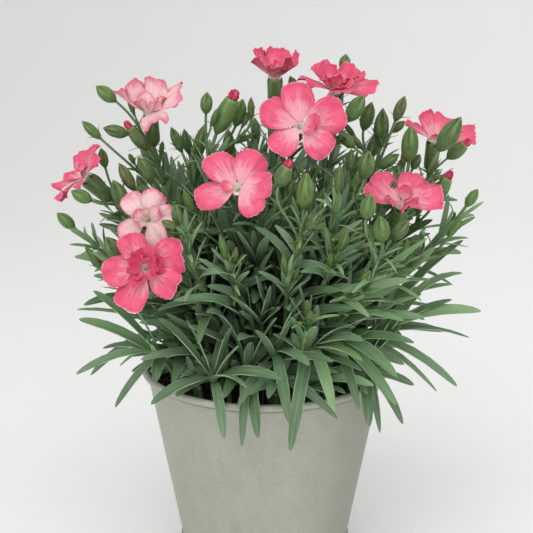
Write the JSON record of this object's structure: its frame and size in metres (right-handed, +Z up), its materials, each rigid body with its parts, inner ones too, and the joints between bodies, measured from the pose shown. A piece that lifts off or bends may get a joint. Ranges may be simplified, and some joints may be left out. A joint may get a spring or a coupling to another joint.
{
  "type": "potted dianthus",
  "caption": "Dianthus in a tapered zinc pot, with a mound of narrow blue-green leaves, upright stems tipped with buds, and broad blooms with toothed coral and pale pink petals",
  "frame": {"origin": "middle of the pot's flat underside, on the pot's axis", "axes": "+Z up along the pot's axis, -Y towards the viewer of the picture, +X to the viewer's right"},
  "size_m": [0.2119, 0.191, 0.258],
  "materials": {
    "zinc": "satin grey-green zinc, faintly mottled",
    "compost": "rough dark fibre compost",
    "foliage": "satin blue-green leaf with a waxy bloom",
    "petal_coral": "velvety coral pink petal",
    "petal_pale": "velvety pale pink petal"
  },
  "bodies": {
    "root": {"pot": "zinc", "soil": "compost", "bloom_1": "petal_pale", "bloom_10": "petal_coral", "bloom_11": "petal_coral", "bloom_12": "petal_coral", "bloom_2": "petal_coral", "bloom_3": "petal_pale", "bloom_4": "petal_coral", "bloom_5": "petal_coral", "bloom_6": "petal_coral", "bloom_7": "petal_coral", "bloom_8": "petal_coral", "bloom_9": "petal_coral", "bud_tip_1": "petal_coral", "bud_tip_11": "petal_coral", "bud_tip_16": "petal_coral", "bud_tip_9": "petal_coral", "bud_tip_9_2": "petal_coral", "shoot_1": "foliage", "shoot_10": "foliage", "shoot_11": "foliage", "shoot_12": "foliage", "shoot_13": "foliage", "shoot_14": "foliage", "shoot_2": "foliage", "shoot_3": "foliage", "shoot_4": "foliage", "shoot_5": "foliage", "shoot_6": "foliage", "shoot_7": "foliage", "shoot_8": "foliage", "shoot_9": "foliage", "stem_1": "foliage", "stem_10": "foliage", "stem_11": "foliage", "stem_12": "foliage", "stem_13": "foliage", "stem_14": "foliage", "stem_15": "foliage", "stem_16": "foliage", "stem_17": "foliage", "stem_18": "foliage", "stem_19": "foliage", "stem_2": "foliage", "stem_20": "foliage", "stem_21": "foliage", "stem_22": "foliage", "stem_23": "foliage", "stem_24": "foliage", "stem_25": "foliage", "stem_26": "foliage", "stem_3": "foliage", "stem_4": "foliage", "stem_5": "foliage", "stem_6": "foliage", "stem_7": "foliage", "stem_8": "foliage", "stem_9": "foliage"}
  },
  "joints": []
}
